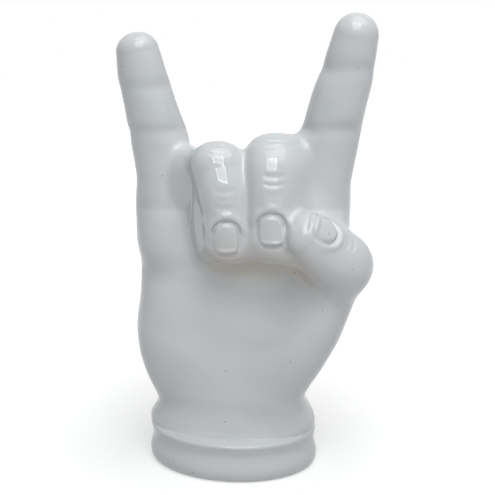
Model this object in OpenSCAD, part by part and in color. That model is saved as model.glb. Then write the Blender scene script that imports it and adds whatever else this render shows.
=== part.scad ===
// Ceramic ornament: a life-size right hand that rises from an oval cuff.
// The index and little fingers point up, the middle and ring fingers are curled
// over the palm, and the thumb is folded across until it touches the middle finger.
// The hand is built up from hollow cast pieces, each luted to its seat with a peg in a bore.
// Millimetres. The origin is the centre of the cuff's underside, the palm looks
// towards -Y, the thumb is on the +X side and the fingers point towards +Z.

/* [Cuff] */
// Length of the oval foot along X
cuff_len = 80; // [76:1:92]
// Depth of the oval foot along Y
cuff_depth = 63; // [58:1:76]
// Height of the face that the palm stands on
cuff_h = 20; // [17:1:28]
// Depth of the shallow groove round the cuff
groove_deep = 1.3; // [0.4:0.1:2.4]
// Thickness of the cuff's floor
floor_t = 5; // [4:0.5:7]
// Diameter of the vent hole in the floor
vent_d = 12; // [8:1:18]
// Distance of the vent hole from the middle of the floor
vent_x = 16; // [13:1:20]

/* [Palm] */
// Height of the palm, from the cuff to the face that the fingers stand on
palm_h = 104; // [96:1:114]
// Width across the four knuckles
palm_w = 95; // [92:1:100]
// Thickness at the knuckles
palm_t = 29; // [27:1:32]
// Thickness at the heel of the hand
heel_t = 46; // [40:1:49]
// Width at the narrowest part of the wrist
wrist_w = 67; // [60:1:70]
// Thickness at the narrowest part of the wrist
wrist_t = 47; // [42:1:49]
// How far the ball of the thumb swells out of the palm
ball_out = 14; // [10:1:16]

/* [Raised fingers] */
// Length of the index finger above its seat
index_len = 84.5; // [70:0.5:100]
// Width of the index finger
index_w = 25; // [22:0.5:26]
// Angle at which the index finger leans out
index_lean = 13.5; // [8:0.5:18]
// Length of the little finger above its seat
little_len = 75.5; // [60:0.5:90]
// Width of the little finger
little_w = 25; // [21:0.5:26]
// Angle at which the little finger leans out
little_lean = 12; // [6:0.5:17]

/* [Curled fingers] */
// Width of the middle finger at its seat
middle_w = 23; // [21:0.5:24]
// Width of the ring finger at its seat
ring_w = 24; // [21:0.5:24.5]
// Height of the middle finger's bent knuckle above the seats
middle_rise = 33; // [30:0.5:38]
// Height of the ring finger's bent knuckle above the seats
ring_rise = 30; // [28:0.5:36]
// Drop of the middle fingertip below the seats
middle_drop = 17; // [12:0.5:22]
// Drop of the ring fingertip below the seats
ring_drop = 21; // [14:0.5:25]
// Angle by which the curled fingers turn towards the thumb
curl_turn = 15; // [11:1:18]

/* [Thumb] */
// Width of the thumb at its bent knuckle
thumb_w = 23.5; // [21:0.5:25]
// Height of the thumb's seat above the cuff
thumb_seat = 66; // [60:1:72]
// Height of the bent knuckle above the thumb's seat
thumb_rise = 18; // [16:0.5:21]
// Distance from the thumb's knuckle to its tip, across the palm
thumb_reach = 23; // [19:0.5:24]

/* [Nails] */
// Width of a nail on the raised and curled fingers
nail_w = 11.7; // [9:0.1:13]
// Length of a nail on the raised and curled fingers
nail_len = 15; // [11:0.5:17]
// Width of the thumb's nail
thumb_nail_w = 13; // [10:0.1:14.5]
// How far a nail stands proud of its finger
nail_raise = 0.8; // [0.3:0.1:1.2]

/* [Walls and joints] */
// Thickness of the cast wall
wall = 4.5; // [3.5:0.1:5.2]
// Diameter of the peg on a finger or the thumb
peg_d = 10; // [8:0.5:11]
// Length of a peg
peg_len = 4.5; // [3:0.5:6]
// Diameter of the vent through a peg
peg_vent_d = 5; // [3:0.5:6]
// Diameter of the collar that centres the palm on the cuff
collar_d = 24; // [20:1:28]
// Height of the collar above the cuff
collar_h = 4.5; // [3:0.5:6]
// Wall of the collar
collar_wall = 4; // [3:0.5:5]
// Clearance between a peg or collar and its bore, on the diameter
bore_gap = 0.4; // [0.2:0.1:0.8]
// Gap between neighbouring pieces that only lie beside each other
side_gap = 0.3; // [0.2:0.1:0.6]

/* [Hidden] */

glaze = "#e3e7ea";
far = 150;              // reach of the boxes that cut a seat or keep to one side
round_fn = 64;
finger_sides = 28;
cavity_sides = 16;
palm_sides = 64;
finger_flat = 0.88;     // depth of a finger against its width

// Places that several pieces share
seat_z = cuff_h + palm_h;
thumb_seat_z = cuff_h + thumb_seat;
knuckle_mid = 4;                          // middle of the knuckle row along X
knuckle_mid_y = 2;                        // middle of the palm's thickness at the knuckles
bed_y = knuckle_mid_y - palm_t / 2;       // front of the palm, behind the curled fingers
deck_t = wall + 0.5;                      // clay under each seat
collar_bore = collar_d - 2 * collar_wall;

// The curled fingers lie in two lanes, measured across their heading
across = [cos(curl_turn), sin(curl_turn), 0];
ahead = [sin(curl_turn), -cos(curl_turn), 0];
split = 5.2;                              // line between the ring and middle fingers
lane_little = split - ring_w;
lane_index = split + middle_w;

// Seats of the two raised fingers, in from the sides of the knuckle row
index_x = knuckle_mid + palm_w / 2 - index_w / 2;
little_x = knuckle_mid - palm_w / 2 + little_w / 2;

// Seat of the thumb, on top of the ball
thumb_x = 48.5;
thumb_y = -11;
thumb_bed = [38, -12.5];                  // point on the face that the thumb lies against
thumb_bed_turn = 48;

function unit(v) = v / norm(v);
function place(s) = [s[0], s[1], s[2]];
function signed_pow(v, e) = sign(v) * pow(abs(v), e);

// Point on a smooth curve between b and c, with a and d as its outer neighbours
function curve(a, b, c, d, t) =
    0.5 * (2 * b + (c - a) * t + (2 * a - 5 * b + 4 * c - d) * t * t + (3 * (b - c) + d - a) * t * t * t);

// Stations in between, so that every number runs smoothly along the list
function smooth(list, steps) =
    let (last = len(list) - 1)
    concat([for (i = [0:last - 1], k = [0:steps - 1])
        curve(list[max(i - 1, 0)], list[i], list[i + 1], list[min(i + 2, last)], k / steps)], [list[last]]);

// Direction of the path at one station
function heading(path, i) =
    unit(place(path[min(i + 1, len(path) - 1)]) - place(path[max(i - 1, 0)]));

// Closed ring of points: a rounded section of half width rw and half depth rd
function ring(p, t, side, rw, rd, power, sides) =
    let (w = unit(side - (side * t) * t), d = cross(t, w))
    [for (i = [0:sides - 1])
        let (a = 360 * i / sides)
        p + w * rw * signed_pow(cos(a), 2 / power) + d * rd * signed_pow(sin(a), 2 / power)];

// Rings of a finger: stations are [x, y, z, half width, half depth, roundness], and the
// last one is the middle of the rounded tip, which reaches tip_len beyond it
function finger_rings(stations, side, tip_len, grow, sides, steps) =
    let (path = smooth(stations, steps), last = len(path) - 1, end = path[last], t = heading(path, last))
    concat(
        [for (i = [0:last])
            let (s = path[i])
            ring(place(s), heading(path, i), side, s[3] + grow, s[4] + grow, s[5], sides)],
        [for (a = [15, 30, 45, 58, 70, 80, 86])
            ring(place(end) + t * (tip_len + grow) * sin(a), t, side,
                (end[3] + grow) * cos(a), (end[4] + grow) * cos(a), end[5], sides)]);

// Closed skin over a stack of rings
module skin(rings) {
    n = len(rings[0]);
    m = len(rings);
    polyhedron(
        points = [for (r = rings) each r],
        faces = concat(
            [[for (i = [0:n - 1]) i]],
            [[for (i = [n - 1:-1:0]) (m - 1) * n + i]],
            [for (j = [0:m - 2], i = [0:n - 1]) [j * n + i, (j + 1) * n + i, (j + 1) * n + (i + 1) % n]],
            [for (j = [0:m - 2], i = [0:n - 1]) [j * n + i, (j + 1) * n + (i + 1) % n, j * n + (i + 1) % n]]),
        convexity = 8);
}

// Nail: the part of a slightly fatter fingertip that lies inside the nail's outline
module nail(stations, side, tip_len, steps, centre, along, out, w, len) {
    face = cross(along, out);
    axis = unit(face);
    points = [for (i = [0:35])
        let (a = 360 * i / 36, power = sin(a) > 0 ? 3.4 : 2.2)
        [w / 2 * signed_pow(cos(a), 2 / power), len / 2 * signed_pow(sin(a), 2 / power)]];
    intersection() {
        skin(finger_rings(stations, side, tip_len, nail_raise, finger_sides, steps));
        multmatrix([
            [axis[0], along[0], out[0], centre[0]],
            [axis[1], along[1], out[1], centre[1]],
            [axis[2], along[2], out[2], centre[2]],
            [0, 0, 0, 1]])
            linear_extrude(2 * wall + 12) polygon(points);
    }
}

// Everything between two lines across the heading of the curled fingers
module lane(low, high) {
    rotate([0, 0, curl_turn]) translate([low, -far, 0]) cube([high - low, 2 * far, 2 * far]);
}

// Space that the palm keeps for itself below and behind the fingers
module palm_room() {
    translate([-far, bed_y - 2 * side_gap, 0]) cube([2 * far, far, seat_z]);
}

// Space in front of the palm and above the ball, which the thumb fills
module thumb_room(grow = 0) {
    translate([thumb_bed[0], thumb_bed[1], thumb_seat_z]) rotate([0, 0, thumb_bed_turn])
        translate([-far, -far, -grow]) cube([2 * far, far + grow, far]);
}

// Peg under a seat, and the vent that runs up through it into the cavity
module peg(x, y, z) {
    translate([x, y, z - peg_len]) cylinder(d = peg_d, h = peg_len + deck_t / 2, $fn = round_fn);
}
module peg_vent(x, y, z, rise) {
    translate([x, y, z - peg_len - 1]) cylinder(d = peg_vent_d, h = peg_len + 1 + rise, $fn = round_fn);
}
module peg_bore(x, y, z, depth) {
    translate([x, y, z - peg_len - bore_gap])
        cylinder(d = peg_d + bore_gap, h = peg_len + bore_gap + 1, $fn = round_fn);
    translate([x, y, z - depth]) cylinder(d = peg_vent_d, h = depth, $fn = round_fn);
}

// Cuff: an oval cup with a rolled rim, closed on top by the deck that carries the palm
foot_round = 4;
rim_round = 2.3;
cuff_sides = 72;
inset_len = groove_deep + wall;
function arc(x, y, rx, ry, from, to, n) =
    [for (i = [0:n]) let (a = from + (to - from) * i / n) [x + rx * cos(a), y + ry * sin(a)]];

// Outline of the cuff's side as [distance in from the foot's oval, height]
function cuff_side() =
    let (low = foot_round + 0.5, high = cuff_h - rim_round)
    concat(
        [[foot_round, -1]],
        [for (p = arc(0, foot_round, foot_round, foot_round, -90, -15, 5)) [foot_round - p[0], p[1]]],
        [for (i = [0:10])
            let (k = i / 10)
            [groove_deep * (0.5 - 0.5 * cos(360 * k)) + 0.3 * k, low + (high - low) * k]],
        [for (p = arc(0, high, rim_round, rim_round, 20, 90, 4)) [0.3 + rim_round - p[0], p[1]]],
        [[rim_round + 0.3, cuff_h + 1]]);
function cuff_ring(inset, z, sides) =
    ring([0, 0, z], [0, 0, 1], [1, 0, 0], cuff_len / 2 - inset, cuff_depth / 2 - inset, 2, sides);
module cuff() {
    color(glaze) difference() {
        union() {
            intersection() {
                skin([for (p = cuff_side()) cuff_ring(p[0], p[1], cuff_sides)]);
                translate([-far, -far, 0]) cube([2 * far, 2 * far, cuff_h]);
            }
            translate([0, 0, cuff_h - deck_t / 2])
                cylinder(d = collar_d, h = collar_h + deck_t / 2, $fn = round_fn);
        }
        skin([
            cuff_ring(inset_len + 4, floor_t, cavity_sides * 3),
            cuff_ring(inset_len + 1, floor_t + 1, cavity_sides * 3),
            cuff_ring(inset_len, floor_t + 3, cavity_sides * 3),
            cuff_ring(inset_len, cuff_h - deck_t - 2, cavity_sides * 3),
            cuff_ring(inset_len + 2, cuff_h - deck_t, cavity_sides * 3)]);
        translate([vent_x, 0, -1]) cylinder(d = vent_d, h = floor_t + 2, $fn = round_fn);
        translate([0, 0, cuff_h - deck_t - 1])
            cylinder(d = collar_bore, h = deck_t + collar_h + 2, $fn = round_fn);
    }
}

// Palm: stations are [z, left, right, front, back, roundness, ball height, ball direction,
// heel height, knuckle height], with the sides and faces as distances along X and Y
wrist_mid = -1.6;
wrist_z = cuff_h + 14;
function palm_stations() =
    let (left = knuckle_mid - palm_w / 2,
        right = knuckle_mid + palm_w / 2,
        front = bed_y,
        back = bed_y + palm_t,
        wrist_l = wrist_mid - wrist_w / 2,
        wrist_r = wrist_mid + wrist_w / 2,
        wt = wrist_t / 2,
        ht = heel_t / 2,
        heel = thumb_seat_z - wrist_z,
        top = seat_z - thumb_seat_z)
    [
        [cuff_h, wrist_l - 3, wrist_r + 6, -wt - 1, wt + 1, 2.2, 0, -52, 0, 0],
        [cuff_h + 5, wrist_l - 2.2, wrist_r + 5.2, -wt, wt, 2.2, 0, -52, 0, 0],
        [wrist_z, wrist_l, wrist_r, -wt, wt, 2.2, 0, -50, 0, 0],
        [wrist_z + 0.22 * heel, wrist_l - 2.3, wrist_r + 5.2, 0.5 - ht, ht, 2.3, 0.12 * ball_out, -46, 1, 0],
        [wrist_z + 0.5 * heel, left + 1.7, right - 5.6, 1.5 - ht, ht - 1.5, 2.4, 0.4 * ball_out, -34, 2.5, 0],
        [wrist_z + 0.77 * heel, left, right - 3, 4 - ht, ht - 4, 2.5, 0.68 * ball_out, -22, 2, 0],
        [thumb_seat_z, left + 0.2, right - 6, front - 4.5, back + 1.5, 2.6, ball_out, -13, 1, 0],
        [thumb_seat_z + 0.32 * top, left + 0.5, right - 6.5, front - 2, back + 1, 2.7, 0.6 * ball_out, -13, 0, 0],
        [thumb_seat_z + 0.65 * top, left + 0.4, right - 2.5, front, back + 0.5, 2.9, 0.1 * ball_out, -13, 0, 1.2],
        [seat_z - 6, left, right - 0.3, front, back, 3, 0, -13, 0, 2.2],
        [seat_z, left, right, front, back, 3.1, 0, -13, 0, 1.4],
    ];
function bump(a, direction, spread) =
    let (off = abs((a - direction + 540) % 360 - 180)) exp(-pow(off / spread, 2));
function palm_ring(s, inset, sides) =
    let (cx = (s[1] + s[2]) / 2,
        cy = (s[3] + s[4]) / 2,
        rx = (s[2] - s[1]) / 2 - inset,
        ry = (s[4] - s[3]) / 2 - inset)
    [for (i = [0:sides - 1])
        let (a = 360 * i / sides,
            oval = pow(pow(abs(cos(a)) / rx, s[5]) + pow(abs(sin(a)) / ry, s[5]), -1 / s[5]),
            knuckles = bump(a, 24, 9) + bump(a, 62, 13) + bump(a, 112, 13) + bump(a, 154, 9),
            r = oval + s[6] * bump(a, s[7], 23) + s[8] * bump(a, -130, 30) + s[9] * knuckles)
        [cx + r * cos(a), cy + r * sin(a), s[0]]];
function palm_rings(stations, inset, sides, steps) =
    [for (s = smooth(stations, steps)) palm_ring(s, inset, sides)];

// Seats on the palm, as [x, y] of each peg
function lane_seat(low, high) = let (p = across * ((low + high) / 2) - ahead * 4) [p[0], p[1]];
index_seat = [index_x, knuckle_mid_y - 0.5];
little_seat = [little_x, knuckle_mid_y];
ring_seat = lane_seat(lane_little, split);
middle_seat = lane_seat(split, lane_index);

module palm_skin() {
    skin(palm_rings(palm_stations(), 0, palm_sides, 3));
}
module palm() {
    floor_z = cuff_h + deck_t;
    all = palm_stations();
    inner = concat(
        [[for (j = [0:9]) j == 0 ? floor_z : all[1][j]]],
        [for (i = [2:8]) all[i]],
        [[for (j = [0:9]) j == 0 ? seat_z - deck_t : all[9][j]]]);
    color(glaze) difference() {
        palm_skin();
        difference() {
            skin(palm_rings(inner, wall, cavity_sides * 2, 2));
            thumb_room(wall);
        }
        translate([0, 0, cuff_h - 1]) cylinder(d = collar_d + bore_gap, h = deck_t + 3, $fn = round_fn);
        for (p = [index_seat, middle_seat, ring_seat, little_seat]) peg_bore(p[0], p[1], seat_z, deck_t + 3);
        peg_bore(thumb_x, thumb_y, thumb_seat_z, deck_t + 8);
        thumb_room();
    }
}

// Raised finger: rows are [height share, width share, depth share, roundness, lean share],
// up to the middle of the rounded tip; lean is positive towards +X
module raised_finger(seat, rows, lean, length, w, tip_y, low, high) {
    inward = lean > 0 ? -1 : 1;
    tip_r = 0.39 * w;
    function station(r, web) =
        let (k = r[0], fill = web * max(0, 1 - pow(max(k, 0) / 0.38, 2)))
        [seat[0] + length * tan(lean) * r[4] + inward * fill,
            seat[1] + (tip_y - seat[1]) * k,
            seat_z + length * k,
            r[1] * w / 2 + fill,
            r[2] * finger_flat * w / 2,
            r[3]];
    outer = [for (r = rows) station(r, 3)];
    last = len(rows) - 1;
    inner = concat([station([(deck_t + 0.5) / length, 1, 1, 2, 0.04], 0)],
        [for (i = [3, 4, 6, last - 1]) station(rows[i], 0)]);
    side = [1, 0, 0];
    along = unit(place(outer[last]) - place(outer[last - 1]));
    out = unit(cross(along, side));
    nail_at = place(outer[last]) + along * (tip_r - 2 - nail_len / 2);
    color(glaze) difference() {
        union() {
            intersection() {
                union() {
                    skin(finger_rings(outer, side, tip_r, 0, finger_sides, 3));
                    nail(outer, side, tip_r, 3, nail_at, along, out, nail_w, nail_len);
                }
                lane(low, high);
                translate([-far, -far, seat_z]) cube(2 * far);
            }
            peg(seat[0], seat[1], seat_z);
        }
        skin(finger_rings(inner, side, tip_r - wall + 1, -wall, cavity_sides, 2));
        peg_vent(seat[0], seat[1], seat_z, deck_t + 4);
    }
}
index_rows = [
    [-0.03, 1.04, 1.28, 2.8, 0],
    [0, 1.04, 1.26, 2.7, 0],
    [0.09, 1.05, 1.12, 2.5, 0.06],
    [0.18, 1.05, 1.03, 2.3, 0.14],
    [0.31, 1.04, 1, 2.1, 0.22],
    [0.43, 1, 0.97, 2, 0.32],
    [0.56, 0.97, 0.95, 2, 0.45],
    [0.69, 0.92, 0.9, 2, 0.59],
    [0.8, 0.86, 0.83, 2, 0.71],
    [0.885, 0.77, 0.74, 2, 0.8]];
little_rows = [
    [-0.03, 1.02, 1.28, 2.8, 0],
    [0, 1.02, 1.26, 2.7, 0],
    [0.1, 1.04, 1.12, 2.5, 0.02],
    [0.2, 1.06, 1.03, 2.3, 0.06],
    [0.36, 1.04, 1, 2.1, 0.19],
    [0.48, 0.99, 0.97, 2, 0.34],
    [0.6, 0.92, 0.92, 2, 0.48],
    [0.71, 0.88, 0.87, 2, 0.61],
    [0.81, 0.82, 0.81, 2, 0.71],
    [0.875, 0.75, 0.73, 2, 0.77]];
module index_finger() {
    raised_finger(index_seat, index_rows, index_lean, index_len, index_w, -4,
        lane_index + side_gap / 2, far);
}
module little_finger() {
    raised_finger(little_seat, little_rows, -little_lean, little_len, little_w, -2,
        -far, lane_little - side_gap / 2);
}

// Curled finger: it rises from its seat, bends over in a half circle and hangs down in
// front of the palm. base and column are its middles across, rise and drop are heights.
module curled_finger(seat, base, column, w, column_w, rise, drop, low, high) {
    depth = w * 0.41;
    start = ahead * [seat[0], seat[1], 0];
    bed = (column * sin(curl_turn) - bed_y) / cos(curl_turn);
    hang = bed + depth + 2 * side_gap;
    bend_r = (hang - start) / 2;
    bend_z = rise - depth * 1.06 - bend_r;
    rows = concat(
        [[base, start, -2, w * 0.53, depth * 1.15, 2.8], [base, start, 0, w * 0.53, depth * 1.12, 2.6]],
        [for (a = [0:30:180])
            let (k = a / 180)
            [base + (column - base) * k * k,
                start + bend_r * (1 - cos(a)) + 2.2 * sin(a),
                bend_z + bend_r * sin(a),
                (w + (column_w - w) * k * k) / 2,
                depth * (1 + 0.06 * sin(a)),
                2.3]],
        [[column, hang, -3, column_w * 0.485, depth * 0.97, 2.2],
            [column, hang - 1.2, depth - drop, column_w * 0.46, depth * 0.93, 2.1]]);
    function spot(r) = let (p = across * r[0] + ahead * r[1]) [p[0], p[1], seat_z + r[2], r[3], r[4], r[5]];
    outer = [for (r = rows) spot(r)];
    inner = [for (i = [1:10]) spot(i == 1 ? rows[1] + [0, 0, deck_t, 0, 0, 0] : rows[i])];
    nail_at = across * column + ahead * hang + [0, 0, seat_z - drop + 5 + nail_len / 2];
    color(glaze) difference() {
        union() {
            intersection() {
                union() {
                    skin(finger_rings(outer, across, depth * 0.97, 0, finger_sides, 3));
                    nail(outer, across, depth * 0.97, 3, nail_at, [0, 0, -1], ahead, nail_w, nail_len);
                    curl_web(low, high, start, hang - depth * 0.6, rise * 0.62);
                }
                lane(low, high);
            }
            peg(seat[0], seat[1], seat_z);
        }
        difference() {
            palm_room();
            peg(seat[0], seat[1], seat_z);
        }
        skin(finger_rings(inner, across, depth - wall, -wall, cavity_sides, 1));
        peg_vent(seat[0], seat[1], seat_z, deck_t + 4);
    }
}

// Web of clay that closes the inside of a curl, as wide as the finger's lane
module curl_web(low, high, start, end, h) {
    rotate([0, 0, curl_turn]) translate([low, -end, seat_z]) cube([high - low, end - start, h]);
}
ring_column_w = ring_w * 0.76;
middle_column_w = middle_w * 0.88;
module middle_finger() {
    curled_finger(middle_seat, (split + lane_index) / 2, split + middle_column_w / 2, middle_w, middle_column_w,
        middle_rise, middle_drop, split + side_gap / 2, lane_index - side_gap / 2);
}
module ring_finger() {
    curled_finger(ring_seat, (split + lane_little) / 2, split - ring_column_w / 2, ring_w, ring_column_w,
        ring_rise, ring_drop, lane_little + side_gap / 2, split - side_gap / 2);
}

// Thumb: one part rises from the ball to the bent knuckle, and the other reaches from
// the knuckle across the palm
module thumb() {
    r = thumb_w / 2;
    side = [0.85, -0.53, 0];
    knuckle = [thumb_x + 4.2, thumb_y - 4.5, thumb_seat_z + thumb_rise];
    along = unit([-0.6, -0.5, 0.62]);
    out = unit([0.755, -0.6, 0.257] - ([0.755, -0.6, 0.257] * along) * along);
    tip = knuckle + along * thumb_reach;
    rows = [
        [thumb_x - 1, thumb_y + 0.6, thumb_seat_z - 3, r * 0.94, r * 0.94, 2],
        [thumb_x, thumb_y, thumb_seat_z, r * 0.94, r * 0.94, 2],
        [thumb_x + 2.4, thumb_y - 2, thumb_seat_z + 0.5 * thumb_rise, r * 0.98, r * 0.97, 2],
        concat(knuckle, [r, r, 2])];
    from_knuckle = function(k, width, depth) concat(knuckle + along * k, [width * r, depth * r, 2.1]);
    end_rows = [from_knuckle(-4, 0.55, 0.5), from_knuckle(0, 0.88, 0.84), from_knuckle(5, 0.97, 0.93),
        from_knuckle(0.6 * thumb_reach, 0.96, 0.9), from_knuckle(thumb_reach, 0.88, 0.8)];
    end_side = cross(along, out);
    tip_r = 0.66 * r;
    color(glaze) difference() {
        union() {
            intersection() {
                union() {
                    skin(finger_rings(rows, side, r, 0, finger_sides, 3));
                    skin(finger_rings(end_rows, end_side, tip_r, 0, finger_sides, 3));
                    nail(end_rows, end_side, tip_r, 3, knuckle + along * (thumb_reach - 1), along, out,
                        thumb_nail_w, nail_len);
                    palm_skin();
                }
                thumb_room();
                lane(split + middle_column_w + side_gap, far);
            }
            peg(thumb_x, thumb_y, thumb_seat_z);
        }
        skin(finger_rings([for (i = [1:3]) i == 1 ? rows[1] + [0, 0, deck_t, 0, 0, 0] : rows[i]],
            side, r - wall - 2, -wall - 1.5, cavity_sides, 1));
        skin(finger_rings([for (i = [1:4]) end_rows[i]], end_side, tip_r - wall + 1, -wall, cavity_sides, 1));
        peg_vent(thumb_x, thumb_y, thumb_seat_z, deck_t + 4);
    }
}

cuff();
palm();
thumb();
index_finger();
middle_finger();
ring_finger();
little_finger();
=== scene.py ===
# Looks of the glazed ceramic hand: one skin of clay is modelled as a signed distance in
# millimetres, meshed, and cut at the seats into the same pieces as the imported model.
# The palm looks towards -Y, the thumb is at +X and the raised fingers point towards +Z.
import math

import bpy
import numpy as np
import openvdb
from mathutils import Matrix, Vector


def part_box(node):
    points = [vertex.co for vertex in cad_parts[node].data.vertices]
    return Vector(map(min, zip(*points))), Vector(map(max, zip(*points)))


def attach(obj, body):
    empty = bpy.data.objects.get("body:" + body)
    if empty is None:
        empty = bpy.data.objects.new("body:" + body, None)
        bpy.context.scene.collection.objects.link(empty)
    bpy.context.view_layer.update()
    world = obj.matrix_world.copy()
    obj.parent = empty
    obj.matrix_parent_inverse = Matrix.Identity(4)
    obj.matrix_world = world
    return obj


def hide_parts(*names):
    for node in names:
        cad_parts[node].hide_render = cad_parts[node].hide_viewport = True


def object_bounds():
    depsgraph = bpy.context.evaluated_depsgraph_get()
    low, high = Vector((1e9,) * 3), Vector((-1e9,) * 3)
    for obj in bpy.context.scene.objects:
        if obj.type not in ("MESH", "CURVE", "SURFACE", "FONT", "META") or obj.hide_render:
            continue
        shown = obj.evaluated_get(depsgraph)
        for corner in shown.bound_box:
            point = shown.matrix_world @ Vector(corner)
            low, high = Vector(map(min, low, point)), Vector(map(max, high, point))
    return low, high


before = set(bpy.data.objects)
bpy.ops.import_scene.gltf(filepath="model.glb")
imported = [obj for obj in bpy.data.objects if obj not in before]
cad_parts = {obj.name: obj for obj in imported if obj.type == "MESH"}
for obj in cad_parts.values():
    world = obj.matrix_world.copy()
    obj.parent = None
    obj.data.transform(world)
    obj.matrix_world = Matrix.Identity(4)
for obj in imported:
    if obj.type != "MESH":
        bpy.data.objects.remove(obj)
cad_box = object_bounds()

MM = 0.001


def corners(node):
    """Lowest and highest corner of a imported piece, in mm."""
    low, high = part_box(node)
    return np.array(low) / MM, np.array(high) / MM


palm_low, palm_high = corners("palm")
# Heights of the seats of the palm and of the fingers, and half the length and depth of the foot
CUFF_TOP = palm_low[2]
SEAT_Z = palm_high[2]
FOOT_X, FOOT_Y = corners("cuff")[1][:2]

# The curled fingers are turned towards the thumb: directions across them and to their front
CURL_TURN = math.radians(15)
ACROSS = np.array([math.cos(CURL_TURN), math.sin(CURL_TURN), 0])
AHEAD = np.array([math.sin(CURL_TURN), -math.cos(CURL_TURN), 0])

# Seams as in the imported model. Places across the fingers: between the ring and the middle
# finger, and where the little finger, the index finger and the thumb begin.
SPLIT = 5.2
LANE_LITTLE = SPLIT - 24
LANE_INDEX = SPLIT + 23
LANE_THUMB = SPLIT + 20.5
# Bed of the curled fingers on the palm, and the lowest point that they reach
CURL_BED_Y = -13.1
CURL_BOTTOM = 104
# Bed of the thumb: an upright face through a point, turned about the vertical
THUMB_SEAT_Z = CUFF_TOP + 66
THUMB_BED = np.array([38, -12.5, 0])
THUMB_BED_TURN = math.radians(48)

PIECES = ["cuff", "palm", "thumb", "index_finger", "middle_finger", "ring_finger", "little_finger"]
CUFF, PALM, THUMB, INDEX, MIDDLE, RING, LITTLE = range(len(PIECES))

# Grid that the clay is first meshed on, and the room left round the model
GRID = 1.6
MARGIN = 3
# Thickness of the clay that the visible pieces show at their seams
SHELL = 2.2
# Keeps a division away from zero
TINY = 1e-6


def unit(v):
    return v / np.linalg.norm(v)


def fade(x, start, end):
    """0 before start, 1 after end, and smooth between them."""
    t = np.clip((x - start) / (end - start), 0, 1)
    return t * t * (3 - 2 * t)


def hump(x, middle, width):
    """1 in the middle, and next to nothing two widths away."""
    return np.exp(-(((x - middle) / width) ** 2))


def smooth_rows(rows, steps):
    """Rows in between, on a Catmull-Rom curve through the given ones."""
    rows = np.array(rows, float)
    last = len(rows) - 1
    made = []
    for i in range(last):
        a, b, c, d = rows[max(i - 1, 0)], rows[i], rows[i + 1], rows[min(i + 2, last)]
        for k in range(steps):
            t = k / steps
            made.append(0.5 * (2 * b + (c - a) * t + (2 * a - 5 * b + 4 * c - d) * t * t
                               + (3 * (b - c) + d - a) * t ** 3))
    made.append(rows[last])
    return np.array(made)


def join(a, b, fillet):
    """Both forms, with a fillet about that wide between them."""
    h = np.clip(0.5 + 0.5 * (a - b) / fillet, 0, 1)
    return a * (1 - h) + b * h - fillet * h * (1 - h)


def meet(a, b, fillet):
    """What both forms share, with a rounded edge."""
    return -join(-a, -b, fillet)


def carve(a, b, fillet):
    """The first form without the second."""
    return meet(a, -b, fillet)


def oval(q, radii):
    """Distance, near enough, to an ellipsoid round the origin."""
    outer = np.linalg.norm(q / radii, axis=1)
    inner = np.linalg.norm(q / radii ** 2, axis=1) + TINY
    return outer * (outer - 1) / inner


def ball(p, centre, radii, turn=0.0):
    """Ellipsoid, turned about the vertical by an angle in degrees."""
    x, y, z = (p - np.array(centre, float)).T
    c, s = math.cos(math.radians(turn)), math.sin(math.radians(turn))
    return oval(np.stack([x * c + y * s, y * c - x * s, z], 1), np.array(radii, float))


class Limb:
    """Finger or thumb: rows are [x, y, z, half width, half depth on the pad's side, half
    depth on the nail's side]. Side is the direction across it, and the ends are domes."""

    # How far past its skin a limb still changes its neighbours, and rows between two guesses
    REACH = 16
    STRIDE = 4

    def __init__(self, rows, side, tip, steps=10):
        self.rows = smooth_rows(rows, steps)
        self.place = self.rows[:, :3]
        self.heading = np.gradient(self.place, axis=0)
        self.step = np.linalg.norm(self.heading, axis=1)
        self.heading /= self.step[:, None]
        self.bend = np.gradient(self.heading, axis=0)
        self.side = np.array(side, float)
        self.tip = tip
        reach = self.rows[:, 3:].max() + self.REACH
        self.low = self.place.min(0) - reach
        self.high = self.place.max(0) + reach

    def along(self, p):
        """Place along the limb of the nearest point of its middle line, as a row number: the
        nearest of every few rows, made finer by Newton steps of a few rows at most."""
        best = np.full(len(p), np.inf)
        t = np.zeros(len(p))
        for i in range(0, len(self.place), self.STRIDE):
            d = ((p - self.place[i]) ** 2).sum(1)
            closer = d < best
            best[closer] = d[closer]
            t[closer] = i
        for _ in range(3):
            middle, heading, step, bend, _ = self.at(t)
            off = p - middle
            pace = np.maximum(step - (off * bend).sum(1), 0.3 * step)
            rows = np.clip((off * heading).sum(1) / pace, -self.STRIDE, self.STRIDE)
            t = np.clip(t + rows, 0, len(self.place) - 1)
        return t

    def at(self, t):
        """Middle, heading, length of a row, bend and sizes at a place along the limb."""
        i = np.clip(np.floor(t).astype(int), 0, len(self.place) - 2)
        k = (t - i)[:, None]
        mix = lambda table: table[i] * (1 - k) + table[i + 1] * k
        heading = mix(self.heading)
        heading = heading / np.linalg.norm(heading, axis=1)[:, None]
        step = self.step[i] * (1 - k[:, 0]) + self.step[i + 1] * k[:, 0]
        return mix(self.place), heading, step, mix(self.bend), mix(self.rows[:, 3:])

    def __call__(self, p):
        middle, heading, _, _, size = self.at(self.along(p))
        off = p - middle
        side = self.side - (heading @ self.side)[:, None] * heading
        side = side / np.linalg.norm(side, axis=1)[:, None]
        pad = np.cross(side, heading)
        across, ahead, past = (off * side).sum(1), (off * pad).sum(1), (off * heading).sum(1)
        width = size[:, 0]
        k = fade(ahead, -width * 0.5, width * 0.5)
        depth = size[:, 1] * k + size[:, 2] * (1 - k)
        end = np.where(past > 0, self.tip, width)
        return oval(np.stack([across, ahead, past], 1), np.stack([width, depth, end], 1))


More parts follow.
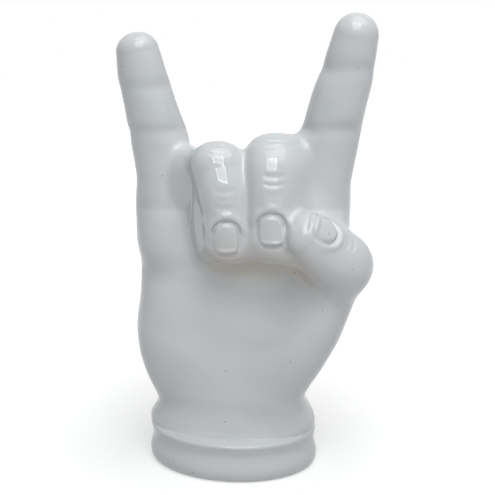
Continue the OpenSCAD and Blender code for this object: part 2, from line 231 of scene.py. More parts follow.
# Raised fingers: the widths and leans follow the photographed outline, and each part of a
# finger swells a little between its creases
index_limb = Limb([
    [36.6, 1.5, 108, 13.0, 13.2, 14.6],
    [38.6, 1.0, 124, 12.9, 12.6, 13.4],
    [40.9, 0.4, 138, 13.1, 12.6, 12.2],
    [43.3, -0.4, 150, 12.9, 11.6, 11.8],
    [45.2, -1.0, 160.6, 12.6, 11.7, 11.0],
    [48.0, -1.9, 171.5, 12.1, 11.3, 10.3],
    [51.0, -2.7, 182, 11.3, 9.9, 9.7],
    [53.3, -3.4, 192, 10.4, 9.6, 8.8],
    [54.7, -3.9, 198.4, 9.7, 8.8, 8.0]], side=[1, 0, 0], tip=10.1)
little_limb = Limb([
    [-30.4, 2.6, 108, 12.6, 13.0, 13.6],
    [-31.0, 2.0, 124, 12.7, 12.4, 12.6],
    [-32.4, 1.4, 138, 13.0, 12.3, 11.6],
    [-33.7, 0.9, 150, 13.4, 11.3, 11.3],
    [-36.2, 0.2, 160, 12.6, 11.4, 10.5],
    [-38.5, -0.6, 170, 11.6, 10.2, 10.0],
    [-40.6, -1.2, 179, 11.2, 10.0, 9.3],
    [-42.0, -1.7, 187.4, 10.3, 9.2, 8.4],
    [-42.7, -2.0, 191.2, 9.7, 8.5, 7.8]], side=[1, 0, 0], tip=8.2)


def bent(across, ahead, height):
    """Point given across and along the heading of the curled fingers."""
    return ACROSS * across + AHEAD * ahead + np.array([0, 0, height])


def curled(base, column, knuckle, front, top, bottom, width, tip_width, thick):
    """Curled finger: up from the knuckle row, over at its bent knuckle and down in front.
    Base, knuckle and column are its places across the palm, from its root to its nail."""
    rise = top - thick * 1.05
    # Rows of [across, ahead, height, half width, half depth]
    ways = [
        (base, -3, SEAT_Z - 14, width * 0.52, thick * 1.2),
        (base, 1, SEAT_Z - 2, width * 0.52, thick * 1.15),
        (base + 0.1 * (knuckle - base), 4.6, rise - 12, width * 0.52, thick * 1.08),
        (base + 0.6 * (knuckle - base), 9.8, rise - 3.2, width * 0.51, thick * 1.05),
        (knuckle, 16.6, rise, width * 0.51, thick * 1.05),
        (knuckle + 0.35 * (column - knuckle), front - 4.6, rise - 4.2, width * 0.49, thick * 1.03),
        (knuckle + 0.7 * (column - knuckle), front - 1.1, rise - 12, width * 0.46, thick * 0.97),
        (column, front, rise - 20, tip_width * 0.5, thick * 0.93),
        (column, front + 0.3, bottom + 17, tip_width * 0.5, thick * 0.95),
        (column, front - 0.8, bottom + thick, tip_width * 0.47, thick * 0.92)]
    return Limb([[*bent(*w[:3]), w[3], w[4], w[4]] for w in ways], side=ACROSS, tip=thick * 0.95)


middle_limb = curled(base=16.6, column=15.3, knuckle=16.2, front=27.6, top=157.3, bottom=106.0,
                     width=22.4, tip_width=20.2, thick=9.6)
ring_limb = curled(base=-6.8, column=-3.6, knuckle=-7.0, front=24.0, top=154.4, bottom=101.8,
                   width=23.6, tip_width=20.0, thick=9.4)

# Thumb: the lower limb rises out of the ball, and the upper one folds across the palm
THUMB_ALONG = unit(np.array([-0.60, -0.50, 0.62]))
THUMB_OUT = np.array([0.755, -0.6, 0.257])
THUMB_OUT = unit(THUMB_OUT - (THUMB_OUT @ THUMB_ALONG) * THUMB_ALONG)
THUMB_DOWN = np.cross(THUMB_OUT, THUMB_ALONG)
NAIL_OUT = np.array([0.78, -0.42, 0.45])
NAIL_OUT = unit(NAIL_OUT - (NAIL_OUT @ THUMB_ALONG) * THUMB_ALONG)
THUMB_KNUCKLE = np.array([52.9, -15.6, 103.6])


def from_knuckle(distance, width, pad, nail):
    """Row of the thumb's end limb, which sinks a little past its knuckle."""
    sink = 1.2 * fade(distance, 0, 8)
    return [*(THUMB_KNUCKLE + THUMB_ALONG * distance + THUMB_DOWN * sink), width, pad, nail]


thumb_base_limb = Limb([
    [21, -7, 40, 13.0, 12.0, 12.0],
    [29, -8.5, 56, 15.5, 13.5, 14.0],
    [37.5, -9, 72, 15.5, 13.0, 14.5],
    [46.4, -10, 88, 12.2, 11.6, 12.6],
    [51.6, -14.6, 100, 11.6, 11.6, 11.6],
    [52.9, -15.6, 103.6, 11.6, 11.6, 11.6]], side=[0.85, -0.53, 0], tip=11)
thumb_end_limb = Limb([
    from_knuckle(-5, 9.4, 9.0, 8.6),
    from_knuckle(0, 11.2, 10.4, 10.2),
    from_knuckle(7, 12.4, 10.8, 10.0),
    from_knuckle(14, 12.4, 10.8, 9.6),
    from_knuckle(20, 11.4, 10.0, 9.0),
    from_knuckle(24, 10.2, 9.0, 8.0)], side=THUMB_DOWN, tip=7.6)

# Soft roll under the fingertips and the thumb, whose lower edge hangs over the hollow
palm_roll_limb = Limb([
    [6, -13.5, 109.5, 6.4, 7.0, 7.0],
    [19, -16.5, 110, 7.4, 8.4, 8.4],
    [31, -19.2, 109.6, 8.0, 9.2, 9.2],
    [40, -19.8, 106.8, 8.4, 9.4, 9.4],
    [47, -18.6, 103.2, 9.0, 9.6, 9.6],
    [54, -15.5, 99.2, 9.2, 9.2, 9.2]], side=[0, 0, 1], tip=8.5)

# Palm: rows are [height, left, right, front, back, roundness]
PALM_ROWS = smooth_rows([
    [CUFF_TOP - 6, -38.8, 38.6, -24.5, 25.5, 2.1],
    [CUFF_TOP - 1, -39.9, 39.0, -25.6, 26.0, 2.1],
    [CUFF_TOP + 2, -39.4, 38.9, -24.4, 25.0, 2.15],
    [CUFF_TOP + 6, -36.9, 37.2, -23.3, 24.0, 2.2],
    [CUFF_TOP + 11, -35.4, 34.2, -22.7, 23.2, 2.2],
    [CUFF_TOP + 16, -35.2, 31.6, -22.6, 22.8, 2.25],
    [CUFF_TOP + 21, -36.4, 31.6, -22.2, 22.2, 2.3],
    [CUFF_TOP + 26, -38.2, 32.8, -21.8, 21.6, 2.35],
    [CUFF_TOP + 36, -42.0, 37.4, -20.8, 20.6, 2.45],
    [CUFF_TOP + 47, -43.9, 42.0, -19.4, 19.4, 2.55],
    [CUFF_TOP + 60, -43.6, 44.6, -17.4, 18.2, 2.65],
    [CUFF_TOP + 72, -43.3, 45.0, -15.4, 17.2, 2.75],
    [CUFF_TOP + 84, -43.3, 46.4, -13.6, 16.6, 2.85],
    [CUFF_TOP + 96, -43.6, 49.0, -12.6, 16.3, 2.9],
    [CUFF_TOP + 104, -43.8, 50.6, -12.0, 15.8, 2.9],
    [CUFF_TOP + 114, -44.4, 53.0, -11.4, 14.6, 2.9]], 8)


def palm(p):
    """Palm and wrist: rounded sections whose sides and faces change with height."""
    left, right, front, back, power = (
        np.interp(p[:, 2], PALM_ROWS[:, 0], PALM_ROWS[:, i]) for i in range(1, 6))
    x = (p[:, 0] - (left + right) / 2) / ((right - left) / 2)
    y = (p[:, 1] - (front + back) / 2) / ((back - front) / 2)
    x_share, y_share = np.abs(x) + TINY, np.abs(y) + TINY
    q = (x_share ** power + y_share ** power) ** (1 / power)
    slope_x = (x_share / q) ** (power - 1) / ((right - left) / 2)
    slope_y = (y_share / q) ** (power - 1) / ((back - front) / 2)
    return (q - 1) / np.hypot(slope_x, slope_y)


# Cuff: rows are [height, inset of the side from the foot's oval]. A rounded lower edge, a
# shallow groove and a narrow bevelled rim.
CUFF_ROWS = smooth_rows([
    [-1.0, 3.6], [0, 2.3], [1.1, 0.9], [2.8, 0.15], [5, 0], [7.5, 0.45], [10, 1.15],
    [12.4, 1.5], [14.6, 1.2], [16.4, 0.75], [17.4, 0.8], [17.9, 1.25], [18.4, 2.2], [19, 3.6],
    [19.5, 5.4], [20, 8.4], [21, 13]], 8)


def cuff(p):
    """Cuff: an oval whose side follows the rows, between the floor and the palm's seat."""
    inset = np.interp(p[:, 2], CUFF_ROWS[:, 0], CUFF_ROWS[:, 1])
    rx, ry = FOOT_X - inset, FOOT_Y - inset
    q = np.hypot(p[:, 0] / rx, p[:, 1] / ry)
    steep = np.hypot(p[:, 0] / rx ** 2, p[:, 1] / ry ** 2) / np.maximum(q, TINY)
    side = (q - 1) / np.maximum(steep, 1e-3)
    return np.maximum(side, np.maximum(-p[:, 2], p[:, 2] - CUFF_TOP))


class Nail:
    """Nail on a fingertip: centre on the skin, along points to the tip and out away from it."""

    def __init__(self, centre, along, out, width, length):
        self.centre = np.array(centre, float)
        self.out = unit(np.array(out, float))
        self.along = np.array(along, float)
        self.along = unit(self.along - (self.along @ self.out) * self.out)
        self.side = np.cross(self.along, self.out)
        self.width, self.length = width, length

    def relief(self, p):
        """Height of the nail and of the groove and fold round it, above plain skin, in mm."""
        off = p - self.centre
        s, t, h = off @ self.side, off @ self.along, off @ self.out
        behind = h < -7
        far = (np.abs(s) > self.width) | (np.abs(t) > self.length) | behind
        # Squarer towards the fingertip than at the root
        a, b = np.abs(s) / (self.width / 2), t / (self.length / 2)
        power = np.where(b > 0, 3.4, 2.3)
        q = (a ** power + np.abs(b) ** power) ** (1 / power)
        gap = (q - 1) * self.width / 2
        front = fade(b, 0.55, 0.95)
        root = 0.3 + 0.7 * fade(-b, -0.1, 0.6)
        plate = 0.4 * fade(-gap, -0.2, 1.2)
        plate += 0.8 * front * fade(-gap, -0.1, 0.6)
        groove = -1.1 * hump(gap, 0.4, 0.8) * (1 - front) * root
        fold = 0.6 * hump(gap, 2.3, 1.3) * (1 - front) * root
        under = -0.8 * hump(gap, 0.8, 0.8) * front * (1 - fade(a, 0.6, 1))
        return np.where(far, 0, plate + groove + fold + under)


nails = [
    Nail(bent(15.0, 37.0, 118.8), [0, 0, -1], AHEAD, 11.2, 13.0),
    Nail(bent(-4.0, 32.9, 114.4), [0, 0, -1], AHEAD, 11.2, 13.8),
    Nail(THUMB_KNUCKLE + THUMB_ALONG * 21.0 + NAIL_OUT * 8.6, THUMB_ALONG, NAIL_OUT, 11.4, 12.0),
    Nail([54.2, 5.4, 197], [0.26, -0.1, 1], [0, 1, 0.05], 12.5, 15),
    Nail([-42.3, 6.6, 188.5], [-0.2, -0.1, 1], [0, 1, 0.05], 11.5, 14)]


class Crease:
    """Shallow line pressed into the skin between two points, bowed by a sagitta. Reach is
    how far in front of and behind the line the skin may be."""

    def __init__(self, start, end, normal, deep, width, bow=0.0, reach=5):
        self.start, self.end = np.array(start, float), np.array(end, float)
        self.along = unit(self.end - self.start)
        self.normal = unit(np.array(normal, float))
        self.across = np.cross(self.along, self.normal)
        self.half = np.linalg.norm(self.end - self.start) / 2
        self.deep, self.width, self.bow, self.reach = deep, width, bow, reach

    def relief(self, p):
        off = p - (self.start + self.end) / 2
        s = off @ self.along / self.half
        t = off @ self.across - self.bow * (1 - s * s)
        h = off @ self.normal
        ends = 1 - fade(np.abs(s), 0.55, 1.15)
        through = 1 - fade(np.abs(h), self.reach, self.reach + 4)
        return -self.deep * hump(t, 0, self.width) * ends * through


def level_crease(middle, front, height, deep, width, bow):
    """Crease of 10 mm straight across a curled finger."""
    return Crease(bent(middle - 5, front, height), bent(middle + 5, front, height), AHEAD,
                  deep, width, bow=bow)


def finger_creases():
    """Bends of the raised fingers, and the wrinkles over the joints of the others."""
    made = []
    # Raised fingers: [height, depth] of the crease on the pad, with a faint one behind it
    for limb, heights in [(index_limb, [(123, 0.9), (158, 1.1), (184, 0.9)]),
                          (little_limb, [(121, 0.7), (155, 1.0), (174.5, 0.8)])]:
        for z, deep in heights:
            x, y, _, wide, pad, nail = limb.rows[np.argmin(np.abs(limb.place[:, 2] - z))]
            made.append(Crease([x - wide * 1.1, y - pad, z], [x + wide * 1.1, y - pad, z + 0.8],
                               [0, -1, 0], deep, 3.4, bow=-0.8, reach=9))
            made.append(Crease([x - wide * 0.8, y + nail, z + 1], [x + wide * 0.8, y + nail, z + 1],
                               [0, 1, 0], 0.4, 1.2, bow=0.8))
    # Folds over the last joints: [height, depth, width], where a negative depth is a ridge
    folds = [
        (-4.6, 32.2, [(135.4, 0.36, 1.5), (131.6, 0.22, 0.9), (128.6, 0.3, 1.0),
                      (125.6, -0.25, 1.4)]),
        (16.4, 36.8, [(142.0, 0.45, 1.3), (138.6, 0.4, 0.9), (134.6, 0.2, 1.2),
                      (130.0, -0.4, 1.6)])]
    for column, front, rows in folds:
        for z, deep, width in rows:
            made.append(level_crease(column, front, z, deep, width, 0.7))
    # Two wrinkles over each bent knuckle, where the skin faces up and a little forward
    for column, front, top in [(-6.6, 20.5, 151.8), (16.0, 23.5, 154.4)]:
        for k in range(2):
            ahead, height = front + 3.6 * k, top - 1.9 * k
            made.append(Crease(bent(column - 5, ahead, height), bent(column + 5, ahead, height),
                               [0.1, -0.45, 0.9], 0.3, 0.8, bow=0.6))
    # Two over the joint of the thumb
    knuckle = THUMB_KNUCKLE + THUMB_ALONG * 9 + NAIL_OUT * 10.5
    side = np.cross(THUMB_ALONG, NAIL_OUT)
    for k in range(2):
        middle = knuckle - THUMB_ALONG * 2.4 * k
        made.append(Crease(middle - side * 4, middle + side * 4, NAIL_OUT, 0.3, 0.8, bow=0.5))
    return made


creases = finger_creases()


def add(d, p, form, low, high, fillet):
    """Joins a form to the distances d of the points p that lie in its box."""
    near = ((p > np.array(low) - 2) & (p < np.array(high) + 2)).all(1)
    d[near] = join(d[near], form(p[near]), fillet)


def add_limb(d, p, limb, fillet):
    add(d, p, limb, limb.low, limb.high, fillet)


def add_balls(d, p, rows):
    """Swellings: rows are (centre, radii, low and high corner of the box it acts in, fillet)."""
    for centre, radii, low, high, fillet in rows:
        add(d, p, lambda q: ball(q, centre, radii), low, high, fillet)


def round_box(centre, below, above):
    """A swelling's box, given from its centre."""
    return [c - b for c, b in zip(centre, below)], [c + a for c, a in zip(centre, above)]


# Knuckles of the back, from the index to the little finger
KNUCKLES = [
    ([x, y, z], [r, 8.6, 10.5], *round_box([x, y, z], [22, 20, 22], [22, 22, 22]), 6)
    for x, y, z, r in [(39, 9, 121, 11), (16, 10.5, 123, 11), (-7, 10, 122, 10.5),
                       (-29, 7.5, 118, 10.5)]]
# Pad on the little finger's side of the palm, and the one at that finger's root
PALM_PADS = [
    ([-26, -9, 60], [15, 12.5, 27], [-50, -40, 20], [0, 20, 100], 10),
    ([-27, -8.5, 105], [12, 7.5, 12], [-50, -30, 80], [0, 10, 130], 8)]
# Web between the thumb and the index finger, and the flesh over it
THUMB_WEB = [([41, -6, 112], [11, 10, 13], [20, -30, 88], [62, 20, 136], 8)]
THUMB_FLESH = [
    ([31.5, -11, 120], [9, 9, 15], [10, -35, 95], [55, 12, 145], 7),
    ([40, -13, 114.5], [12, 9.5, 11.5], [18, -35, 95], [62, 12, 140], 6)]
# Webs from the raised fingers to the curled ones
FINGER_WEBS = [
    (centre, [7, 9, 12], *round_box(centre, [20, 22, 25], [20, 22, 25]), 6)
    for centre in ([-19, -4, 136], [29.5, -7, 138])]
# Flesh beside the ring finger
RING_FLESH = [([-8, -15, 120], [6.5, 9, 20], [-28, -35, 90], [12, 10, 150], 7)]

# Vent hole in the floor, and the hollow that it opens into
VENT_X, VENT_RADIUS, VENT_TOP = 16, 6, 6
HOLLOW_CENTRE, HOLLOW_RADII = [0, 0, 9.5], [26, 18, 4.5]


def plain_skin(p):
    """Distance to the hand without its nails and creases."""
    d = palm(p)
    d = meet(d, p[:, 2] - (SEAT_Z + 4), 12)
    add_balls(d, p, KNUCKLES + PALM_PADS)
    add_limb(d, p, thumb_base_limb, 12)
    add_balls(d, p, THUMB_WEB)
    # Hollow of the palm under the fingertips and under the thumb
    d = carve(d, ball(p, [14, -24.5, 88], [17, 9, 15], turn=8), 9)
    d = carve(d, ball(p, [40, -30, 92.5], [15, 9, 7.5], turn=-12), 7)
    add_limb(d, p, palm_roll_limb, 9)
    add_balls(d, p, THUMB_FLESH)
    add_limb(d, p, index_limb, 9)
    add_limb(d, p, little_limb, 9)
    add_balls(d, p, FINGER_WEBS)
    # The curled fingers meet in a sharp valley and grow out of the palm with a wide fillet
    curls = np.full(len(p), 40.0)
    add_limb(curls, p, ring_limb, 1)
    add_limb(curls, p, middle_limb, 4.5)
    d = join(d, curls, 13)
    add_balls(d, p, RING_FLESH)
    add_limb(d, p, thumb_end_limb, 3.4)
    d = join(d, cuff(p), 0.9)
    vent = np.hypot(p[:, 0] - VENT_X, p[:, 1]) - VENT_RADIUS
    d = np.maximum(d, -np.maximum(vent, p[:, 2] - VENT_TOP))
    d = np.maximum(d, -ball(p, HOLLOW_CENTRE, HOLLOW_RADII))
    return np.maximum(d, -p[:, 2])


def skin(p):
    """Distance to the finished hand: nails, creases and a hand-worked unevenness of 0.1 mm
    above the cuff."""
    d = plain_skin(p)
    near = np.abs(d) < 3
    q = p[near]
    relief = sum(form.relief(q) for form in nails + creases)
    x, y, z = q.T
    uneven = np.sin(x / 4.7 + 1.1 * np.sin(z / 9.1)) * np.sin(z / 5.3 + y / 6.1)
    relief += 0.10 * uneven * fade(z, 20, 28)
    d[near] -= relief
    return d


def slope(form, p, h=0.3):
    """Gradient of a distance from four samples round each point."""
    ways = np.array([[1, -1, -1], [-1, -1, 1], [-1, 1, -1], [1, 1, 1]], float)
    return sum(w * form(p + w * h)[:, None] for w in ways) / (4 * h)


def split_quads(points, quads):
    """Every quad cut into four."""
    edges = np.sort(np.stack([quads, np.roll(quads, -1, 1)], 2), 2)
    key, where = np.unique(edges.reshape(-1, 2), axis=0, return_inverse=True)
    where = where.reshape(-1, 4)
    middles = points[key].mean(1)
    centres = points[quads].mean(1)
    n, m = len(points), len(points) + len(middles)
    face = m + np.arange(len(quads))
    parts = [np.stack([quads[:, i], n + where[:, i], face, n + where[:, i - 1]], 1)
             for i in range(4)]
    return np.concatenate([points, middles, centres]), np.concatenate(parts)


def relax(points, quads, share):
    """Points moved towards the middle of their neighbours."""
    total = np.zeros_like(points)
    count = np.zeros(len(points))
    for i in range(4):
        for j in (i + 1, i - 1):
            np.add.at(total, quads[:, i], points[quads[:, j % 4]])
            np.add.at(count, quads[:, i], 1)
    return points + share * (total / np.maximum(count, 1)[:, None] - points)


def settle(points, form):
    """Points moved onto the surface of a form."""
    g = slope(form, points)
    step = form(points)[:, None] * g / np.maximum((g * g).sum(1), 0.25)[:, None]
    return points - np.clip(step, -0.8, 0.8)


def mesh_hand():
    """Points and quads of the whole skin: meshed on the grid, evened out, cut finer and
    moved onto the finished form."""
    low = np.array(cad_box[0]) / MM - MARGIN
    high = np.array(cad_box[1]) / MM + MARGIN
    counts = np.ceil((high - low) / GRID).astype(int)
    axes = [low[i] + GRID * np.arange(counts[i]) for i in range(3)]
    values = np.empty(counts, np.float32)
    for k, z in enumerate(axes[2]):
        x, y = np.meshgrid(axes[0], axes[1], indexing="ij")
        p = np.stack([x.ravel(), y.ravel(), np.full(x.size, z)], 1)
        values[:, :, k] = plain_skin(p).reshape(x.shape)
    band = 3 * GRID
    grid = openvdb.FloatGrid(background=float(band))
    grid.copyFromArray(np.clip(values, -band, band))
    points, quads = grid.convertToQuads(isovalue=0.0)
    points = low + np.array(points, float) * GRID
    quads = np.array(quads, int)
    for _ in range(2):
        points = settle(relax(points, quads, 0.5), plain_skin)
    points, quads = split_quads(points, quads)
    for share in (0.6, 0.4, 0.2):
        points = settle(relax(points, quads, share), skin)
    return points, quads


def piece_of(p):
    """Number of the piece that each point belongs to, in the order of PIECES."""
    u = p @ ACROSS
    bed_normal = np.array([-math.sin(THUMB_BED_TURN), math.cos(THUMB_BED_TURN), 0])
    over_seats = p[:, 2] > SEAT_Z
    in_front = (p[:, 1] < CURL_BED_Y) & (p[:, 2] > CURL_BOTTOM)
    made = np.where(p[:, 2] < CUFF_TOP, CUFF, PALM)
    made = np.where(over_seats & (u < LANE_LITTLE), LITTLE, made)
    made = np.where(over_seats & (u > LANE_INDEX), INDEX, made)
    curl = (over_seats | in_front) & (u > LANE_LITTLE) & (u < LANE_INDEX)
    made = np.where(curl & (u < SPLIT), RING, made)
    made = np.where(curl & (u >= SPLIT), MIDDLE, made)
    thumb = ((p - THUMB_BED) @ bed_normal < 0) & (p[:, 2] > THUMB_SEAT_Z) & (u > LANE_THUMB)
    return np.where(thumb, THUMB, made)


def shell(name, points, quads, normals, fine_normals, shade_share):
    """One piece: its part of the skin, an inner skin behind it, and a rim that joins the two.
    It is shaded with the normals of the form itself, so the facets don't show."""
    used, local = np.unique(quads, return_inverse=True)
    local = local.reshape(-1, 4)
    outer = points[used]
    inner = outer - normals[used] * SHELL
    n = len(used)
    edges = np.stack([local, np.roll(local, -1, 1)], 2).reshape(-1, 2)
    forward = {tuple(e) for e in edges.tolist()}
    rim = np.array([[a, b] for a, b in forward if (b, a) not in forward], int).reshape(-1, 2)
    faces = np.concatenate([
        local, local[:, ::-1] + n,
        np.stack([rim[:, 1], rim[:, 0], rim[:, 0] + n, rim[:, 1] + n], 1)])
    mesh = bpy.data.meshes.new(name)
    mesh.from_pydata((np.concatenate([outer, inner]) * MM).tolist(), [], faces.tolist())
    mesh.polygons.foreach_set("use_smooth", np.ones(len(faces), bool))
    shade = np.concatenate([fine_normals[used], -fine_normals[used]])
    mesh.normals_split_custom_set_from_vertices(shade.tolist())
    # Share of the painted warm shade, given to outer and inner points alike
    layer = mesh.attributes.new("painted_shade_share", "FLOAT", "POINT")
    layer.data.foreach_set("value", np.concatenate([shade_share[used], shade_share[used]]).astype(np.float32))
    made = bpy.data.objects.new(name, mesh)
    bpy.context.scene.collection.objects.link(made)
    return made


def linear(code):
    """Linear colour of an sRGB hex value."""
    parts = [int(code[i:i + 2], 16) / 255 for i in (1, 3, 5)]
    return [c / 12.92 if c <= 0.04045 else ((c + 0.055) / 1.055) ** 2.4 for c in parts] + [1.0]


def add_node(tree, kind, settings=None, links=None):
    """Adds a node: settings are its own properties or socket values, links its inputs. A mix
    of colours has its share in socket 0 and its colours in 6 and 7, and gives socket 2."""
    node = tree.nodes.new(kind)
    for name, value in (settings or {}).items():
        if isinstance(name, str) and hasattr(node, name):
            setattr(node, name, value)
        else:
            node.inputs[name].default_value = value
    for name, source in (links or {}).items():
        tree.links.new(source, node.inputs[name])
    return node


def glazed_earthenware():
    """White earthenware under a clear gloss glaze, dipped and fired: the eye sees a cool
    white body in two clouded tones, sharp reflections of the window, a painted warm shade in
    the hollows and where the skin faces down under the fingertips, and a few dark pinholes."""
    material = bpy.data.materials.new("glazed_earthenware")
    material.use_nodes = True
    tree = material.node_tree
    tree.nodes.clear()
    place = add_node(tree, "ShaderNodeTexCoord").outputs["Object"]
    # Share of the painted warm shade at each point: shade painted into the hollows and under the
    # fingertips
    shade_share = add_node(tree, "ShaderNodeAttribute", {"attribute_name": "painted_shade_share"}).outputs["Fac"]
    # Clouds about 28 mm wide, where the glaze is thinner or thicker
    cloud = add_node(tree, "ShaderNodeTexNoise", {"Scale": 1 / (28 * MM), "Detail": 2.0},
                     {"Vector": place})
    tone = add_node(tree, "ShaderNodeMix",
                    {"data_type": "RGBA", 6: linear("#dddedf"), 7: linear("#d4d8dc")},
                    {0: cloud.outputs["Fac"]})
    # Painted warm shade: the tone turns towards #dccdba by that share
    shaded_tone = add_node(tree, "ShaderNodeMix", {"data_type": "RGBA", 7: linear("#dccdba")},
                      {0: shade_share, 6: tone.outputs[2]})
    # Pinholes about 0.5 mm wide and 11 mm apart
    spots = add_node(tree, "ShaderNodeTexVoronoi", {"Scale": 1 / (11 * MM), "Randomness": 1.0},
                     {"Vector": place})
    dot = add_node(tree, "ShaderNodeMapRange",
                   {"From Min": 0.018, "From Max": 0.034, "To Min": 0.75, "To Max": 0.0},
                   {"Value": spots.outputs["Distance"]})
    colour = add_node(tree, "ShaderNodeMix", {"data_type": "RGBA", 7: linear("#5f5a56")},
                      {0: dot.outputs["Result"], 6: shaded_tone.outputs[2]})
    # Ripples of the fired glaze, about 5 mm wide and a few thousandths of a millimetre deep
    ripple = add_node(tree, "ShaderNodeTexNoise", {"Scale": 1 / (5 * MM), "Detail": 3.0},
                      {"Vector": place})
    bump = add_node(tree, "ShaderNodeBump", {"Strength": 0.12, "Distance": 0.06 * MM},
                    {"Height": ripple.outputs["Fac"]})
    shader = add_node(tree, "ShaderNodeBsdfPrincipled",
                      {"Roughness": 0.03, "IOR": 1.55},
                      {"Base Color": colour.outputs[2], "Normal": bump.outputs["Normal"]})
    add_node(tree, "ShaderNodeOutputMaterial", None, {"Surface": shader.outputs["BSDF"]})
    return material


def painted_warm_shade(points, outward):
    """Share of the painted warm shade at each point: a trace in every hollow of the clay, and most
    where the skin faces down under the fingertips."""
    reach = 5.0
    hollow = np.clip(1 - plain_skin(points + outward * reach) / reach, 0, 1)
    x, y, z = points.T
    shade_under_tips = fade(-outward[:, 2], -0.25, 0.3) * hump(z, 98, 11)
    shade_under_tips *= fade(x, -14, 2) * (1 - fade(x, 34, 48)) * (1 - fade(y, -14, -8))
    return 0.15 * fade(hollow, 0.2, 0.9) + 0.6 * shade_under_tips


def build_hand():
    points, quads = mesh_hand()
    a, b, c = points[quads[:, 0]], points[quads[:, 1]], points[quads[:, 2]]
    facing = np.cross(b - a, c - a)
    fine = slope(skin, points)
    fine /= np.linalg.norm(fine, axis=1)[:, None]
    if (facing * fine[quads[:, 0]]).sum() < 0:
        quads = quads[:, ::-1]
    broad = slope(plain_skin, points, 0.6)
    broad /= np.linalg.norm(broad, axis=1)[:, None]
    # Painted warm shade in the hollows and under the fingertips
    shade_share = painted_warm_shade(points, broad)
    owner = piece_of(points[quads].mean(1))
    glaze = glazed_earthenware()
    for number, node in enumerate(PIECES):
        piece = shell(node + "_glazed", points, quads[owner == number], broad, fine, shade_share)
        piece.data.materials.append(glaze)
        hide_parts(node)
        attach(piece, "root")


build_hand()


WHITE = (1, 1, 1, 1)


def seen_by_eye(tree):
    """1 for rays from the camera, in reflections and through glass, 0 for light that bounces."""
    ways = add_node(tree, "ShaderNodeLightPath").outputs
    direct = add_node(tree, "ShaderNodeMath", {"operation": "MAXIMUM"},
                      {0: ways["Is Camera Ray"], 1: ways["Is Glossy Ray"]})
    return add_node(tree, "ShaderNodeMath", {"operation": "MAXIMUM"},
                    {0: direct.outputs[0], 1: ways["Is Transmission Ray"]}).outputs[0]


def white_board():
    """Matt white board: seen by the camera it is lifted to plain white, less the object's
    shadow, and the light that it throws back is that of the board alone."""
    material = bpy.data.materials.new("matt_white_board")
    material.use_nodes = True
    tree = material.node_tree
    tree.nodes.clear()
    board = add_node(tree, "ShaderNodeBsdfDiffuse", {"Color": linear("#d6d6d6")})
    # The board gets less light further off, so the lift grows from 0.5 beside the cuff to
    # 1 at 0.3 m
    place = add_node(tree, "ShaderNodeTexCoord").outputs["Object"]
    away = add_node(tree, "ShaderNodeVectorMath", {"operation": "LENGTH"}, {0: place})
    level = add_node(tree, "ShaderNodeMapRange",
                     {"From Min": 0.05, "From Max": 0.3, "To Min": 0.5, "To Max": 1.0},
                     {"Value": away.outputs["Value"]})
    share = add_node(tree, "ShaderNodeMath", {"operation": "MULTIPLY"},
                     {0: level.outputs["Result"], 1: seen_by_eye(tree)})
    lift = add_node(tree, "ShaderNodeEmission", {"Color": WHITE}, {"Strength": share.outputs[0]})
    both = add_node(tree, "ShaderNodeAddShader", None, {0: board.outputs[0], 1: lift.outputs[0]})
    add_node(tree, "ShaderNodeOutputMaterial", None, {"Surface": both.outputs[0]})
    return material


def floor():
    """White board 3.2 m square under the cuff."""
    half = 1.6
    mesh = bpy.data.meshes.new("floor")
    mesh.from_pydata([(-half, -half, 0), (half, -half, 0), (half, half, 0), (-half, half, 0)],
                     [], [(0, 1, 2, 3)])
    made = bpy.data.objects.new("floor", mesh)
    mesh.materials.append(white_board())
    bpy.context.scene.collection.objects.link(made)


floor()


def world_light():
    """Soft pale light from all round, in front of a background that looks plain white."""
    world = bpy.data.worlds.new("studio")
    bpy.context.scene.world = world
    world.use_nodes = True
    tree = world.node_tree
    tree.nodes.clear()
    white = add_node(tree, "ShaderNodeBackground", {"Color": WHITE, "Strength": 1.0})
    soft = add_node(tree, "ShaderNodeBackground", {"Color": linear("#f0f3f7"), "Strength": 0.16})
    mix = add_node(tree, "ShaderNodeMixShader", None,
                   {0: seen_by_eye(tree), 1: soft.outputs[0], 2: white.outputs[0]})
    add_node(tree, "ShaderNodeOutputWorld", None, {"Surface": mix.outputs[0]})


world_light()


def put(name, data, azimuth, elevation, distance, target):
    """Adds a light or a camera that looks at a target from an angle in degrees: azimuth 0 is
    in front of the palm and positive towards the thumb."""
    made = bpy.data.objects.new(name, data)
    a, e = math.radians(azimuth), math.radians(elevation)
    target = Vector(target)
    back = Vector((math.sin(a) * math.cos(e), -math.cos(a) * math.cos(e), math.sin(e)))
    made.location = target + back * distance
    made.rotation_mode = "QUATERNION"
    made.rotation_quaternion = (target - made.location).to_track_quat("-Z", "Y")
    bpy.context.scene.collection.objects.link(made)
    return made


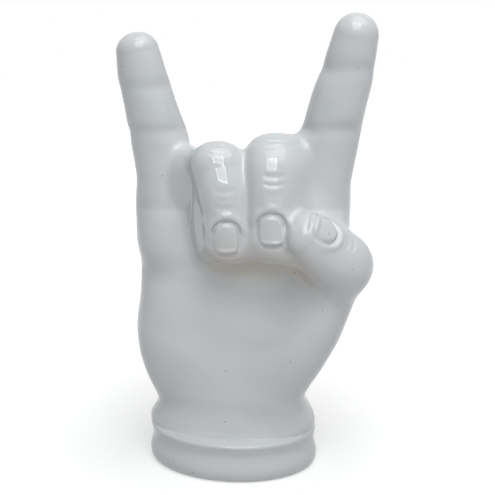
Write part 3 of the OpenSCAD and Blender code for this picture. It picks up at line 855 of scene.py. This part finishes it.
def bright_rim(light, share, gain):
    """Makes a softbox brighter by that gain in a band along its four edges, whose width is
    that share of its side. The glaze then mirrors it as an outlined window."""
    light.use_nodes = True
    tree = light.node_tree
    tree.nodes.clear()
    place = add_node(tree, "ShaderNodeSeparateXYZ", None,
                     {0: add_node(tree, "ShaderNodeNewGeometry").outputs["Parametric"]})
    # Distance from the middle, along the side that is further off: 0.5 at the edge
    off = []
    for axis in (0, 1):
        past = add_node(tree, "ShaderNodeMath", {"operation": "SUBTRACT", 1: 0.5},
                        {0: place.outputs[axis]})
        off.append(add_node(tree, "ShaderNodeMath", {"operation": "ABSOLUTE"},
                            {0: past.outputs[0]}))
    far = add_node(tree, "ShaderNodeMath", {"operation": "MAXIMUM"},
                   {0: off[0].outputs[0], 1: off[1].outputs[0]})
    level = add_node(tree, "ShaderNodeMapRange",
                     {"From Min": 0.5 - share, "From Max": 0.5 - 0.6 * share,
                      "To Min": 1.0, "To Max": gain},
                     {"Value": far.outputs[0]})
    cloth = add_node(tree, "ShaderNodeEmission", None, {"Strength": level.outputs["Result"]})
    add_node(tree, "ShaderNodeOutputLight", None, {"Surface": cloth.outputs[0]})


def softbox(name, azimuth, elevation, distance, wide, high, watts, colour="#ffffff", rim=None):
    """Area light aimed at the middle of the hand."""
    light = bpy.data.lights.new(name, "AREA")
    light.shape = "RECTANGLE"
    light.size, light.size_y = wide, high
    light.energy = watts
    light.color = linear(colour)[:3]
    if rim:
        bright_rim(light, *rim)
    put(name, light, azimuth, elevation, distance, (0.005, -0.003, 0.12))


softbox("window", azimuth=15, elevation=47, distance=0.9, wide=0.56, high=0.5, watts=2.2,
        colour="#fbfffe", rim=(0.1, 2.9))
softbox("top_light", azimuth=50, elevation=72, distance=1.0, wide=0.9, high=0.9, watts=5.0)


def photo_camera():
    """Camera fitted to the photograph: its focal length was found in pixels of the picture."""
    focal_pixels, picture_pixels = 1056.7, 495
    camera = bpy.data.cameras.new("camera")
    camera.sensor_width = 36
    camera.lens = focal_pixels / picture_pixels * camera.sensor_width
    camera.clip_start = 0.01
    bpy.context.scene.camera = put("camera", camera, azimuth=12, elevation=14, distance=0.48,
                                   target=(0.00763, -0.003, 0.1038))


photo_camera()
bpy.context.scene.view_settings.view_transform = "Standard"
